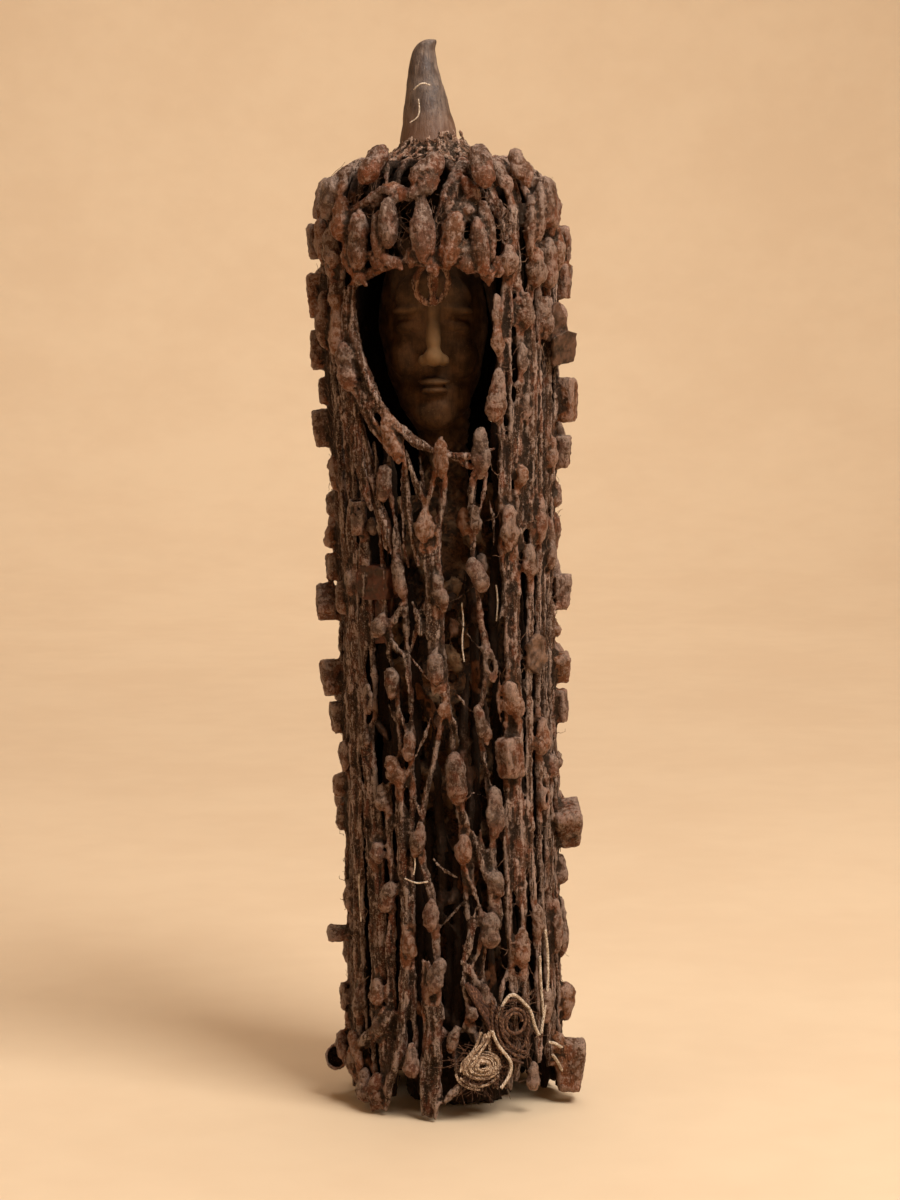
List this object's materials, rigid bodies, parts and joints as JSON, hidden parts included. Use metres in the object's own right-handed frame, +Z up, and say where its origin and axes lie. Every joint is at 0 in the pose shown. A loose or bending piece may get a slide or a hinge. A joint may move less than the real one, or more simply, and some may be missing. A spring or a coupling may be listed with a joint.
{
  "type": "power figure",
  "caption": "Slender carved figure with a calm face in a window, wrapped in a hanging curtain of earth-crusted cords and small wooden pegs, with a short horn on top.",
  "frame": {"origin": "on the ground under the bundle, on the flat underside of the carved figure's round foot", "axes": "+Z up, the face looks along -Y, +X is the figure's left"},
  "size_m": [0.152, 0.1434, 0.6],
  "materials": {
    "crusted_strands": "matte, wooden pegs and cords caked in dry red-brown earth",
    "crusted_cord": "matte, twisted plant fibre caked in earth",
    "carved_wood": "dark, handled and smoke-dark with a slight sheen",
    "horn": "dull worn grey-brown horn",
    "earth_pad": "matte matted fibre and earth",
    "red_cord": "matte reddish cord",
    "grey_hide": "stiff dry hide",
    "pale_fibre": "raw tan and off-white string"
  },
  "bodies": {
    "root": {"brow_ring": "red_cord", "carved_figure": "carved_wood", "fibre_pad": "pale_fibre", "flat_strip": "crusted_cord", "front_strand_1": "crusted_strands", "front_strand_2": "crusted_strands", "front_strand_3": "crusted_strands", "front_strand_4": "crusted_strands", "front_strand_5": "crusted_strands", "front_strand_6": "crusted_strands", "hide_plate": "grey_hide", "hide_scrap": "grey_hide", "hood_lock_1": "crusted_strands", "hood_lock_2": "crusted_strands", "hood_lock_3": "crusted_strands", "hood_lock_4": "crusted_strands", "hood_lock_5": "crusted_strands", "hood_lock_6": "crusted_strands", "hood_lock_7": "crusted_strands", "horn": "horn", "horn_pad": "earth_pad", "necklace_cord": "crusted_cord", "side_strand_01": "crusted_strands", "side_strand_02": "crusted_strands", "side_strand_03": "crusted_strands", "side_strand_04": "crusted_strands", "side_strand_05": "crusted_strands", "side_strand_06": "crusted_strands", "side_strand_07": "crusted_strands", "side_strand_08": "crusted_strands", "side_strand_09": "crusted_strands", "side_strand_10": "crusted_strands", "side_strand_11": "crusted_strands", "side_strand_12": "crusted_strands", "side_strand_13": "crusted_strands", "side_strand_14": "crusted_strands", "side_strand_15": "crusted_strands", "side_strand_16": "crusted_strands", "side_strand_17": "crusted_strands", "side_strand_18": "crusted_strands", "side_strand_19": "crusted_strands", "side_strand_20": "crusted_strands", "side_strand_21": "crusted_strands", "side_strand_22": "crusted_strands", "stick_bunch": "crusted_strands", "string_coil": "pale_fibre"}
  },
  "joints": []
}
